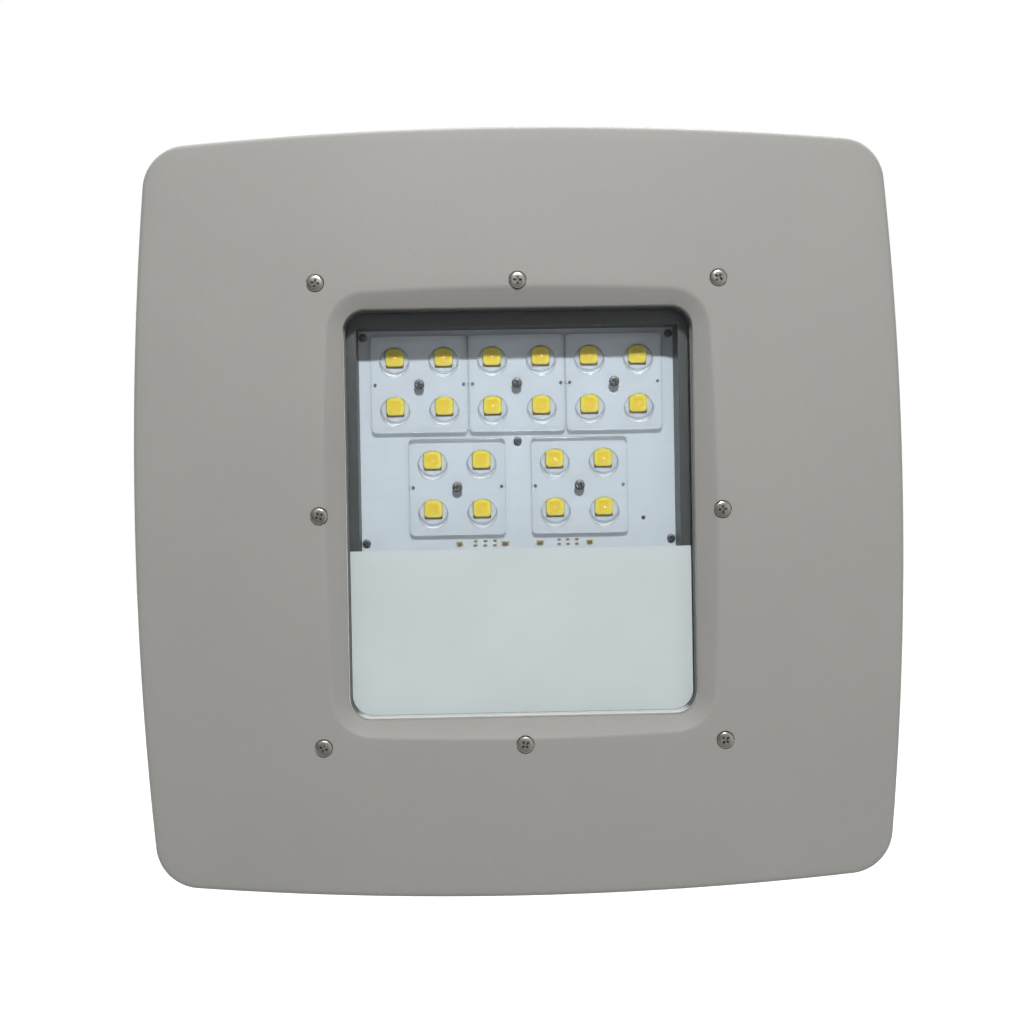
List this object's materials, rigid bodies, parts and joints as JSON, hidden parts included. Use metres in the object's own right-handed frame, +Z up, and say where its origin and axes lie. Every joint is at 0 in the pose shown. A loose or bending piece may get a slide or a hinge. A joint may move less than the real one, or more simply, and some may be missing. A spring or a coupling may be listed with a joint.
{
  "type": "canopy flood light",
  "caption": "Square LED canopy flood light: cast front frame with bowed sides and a glass window, finned rear housing, hinged mounting plate.",
  "frame": {"origin": "centre of the mounting plate's wall face, level with the lamp's middle", "axes": "+X right and +Z up as seen from the front; the lamp looks along -Y, and +Y points into the wall or canopy that it is fixed to"},
  "size_m": [0.38, 0.0954, 0.38],
  "materials": {
    "plate_steel": "zinc-plated sheet",
    "earth_green": "green screw",
    "housing_paint": "satin grey powder coat on an aluminium casting",
    "frame_paint": "satin grey powder coat on an aluminium casting",
    "fastener_steel": "plain steel",
    "screw_steel": "pan-head stainless steel",
    "window_glass": "clear tempered glass",
    "seal_rubber": "dark silicone",
    "shield_white": "white satin sheet",
    "liner_dark": "dark satin",
    "pad_grey": "soft thermal pad",
    "board_white": "white mask on an aluminium-core board",
    "lens_clear": "clear moulded acrylic",
    "led_yellow": "yellow LED phosphor",
    "connector_white": "white connector",
    "parts_brown": "small board parts",
    "driver_metal": "plain extrusion",
    "caps_dark": "dark end caps",
    "block_white": "white terminal block",
    "terminal_brass": "brass screws",
    "surge_dark": "dark potted case",
    "lead_black": "black insulation",
    "lead_white": "white insulation",
    "lead_green": "green insulation",
    "lead_red": "red insulation",
    "gland_dark": "dark nylon",
    "bush_rubber": "black rubber",
    "plug_metal": "satin grey painted aluminium plug",
    "vent_dark": "dark vent",
    "thumb_steel": "dark plated thumbscrew"
  },
  "bodies": {
    "mount": {"mounting_plate": "plate_steel", "plate_earth_screw": "earth_green"},
    "lamp": {"rear_housing": "housing_paint", "hinge_pins": "fastener_steel", "hinge_clips": "fastener_steel", "front_frame": "frame_paint", "frame_screws": "screw_steel", "window_glass": "window_glass", "glass_seal": "seal_rubber", "driver_shield": "shield_white", "chamber_liner": "liner_dark", "thermal_pad": "pad_grey", "led_board": "board_white", "lens_module_1": "lens_clear", "lens_module_2": "lens_clear", "lens_module_3": "lens_clear", "lens_module_4": "lens_clear", "lens_module_5": "lens_clear", "led_chips": "led_yellow", "lens_screws": "fastener_steel", "board_screws": "fastener_steel", "board_connector": "connector_white", "board_parts": "parts_brown", "led_driver": "driver_metal", "driver_caps": "caps_dark", "driver_screws": "fastener_steel", "terminal_block": "block_white", "terminal_screws": "terminal_brass", "surge_protector": "surge_dark", "surge_leads": "lead_black", "lead_live": "lead_black", "lead_neutral": "lead_white", "lead_earth": "lead_green", "lead_plus": "lead_red", "lead_minus": "lead_black", "inlet_gland": "gland_dark", "gland_bush": "bush_rubber", "gland_nut": "gland_dark", "conduit_plugs": "plug_metal", "breather_vent": "vent_dark", "housing_earth_screw": "earth_green"},
    "thumbscrew_left": {"thumbscrew_left": "thumb_steel"},
    "thumbscrew_right": {"thumbscrew_right": "thumb_steel"}
  },
  "joints": [
    {"name": "mount_hinge", "type": "hinge", "parent": "mount", "child": "lamp", "pos_m": [0, -0.011, 0.141], "axis": [-1, 0, 0], "range_deg": [0, 50]},
    {"name": "thumbscrew_left_slide", "type": "slide", "parent": "lamp", "child": "thumbscrew_left", "axis": [0, 0, -1], "range_m": [0, 0.006]},
    {"name": "thumbscrew_right_slide", "type": "slide", "parent": "lamp", "child": "thumbscrew_right", "axis": [0, 0, -1], "range_m": [0, 0.006]}
  ]
}
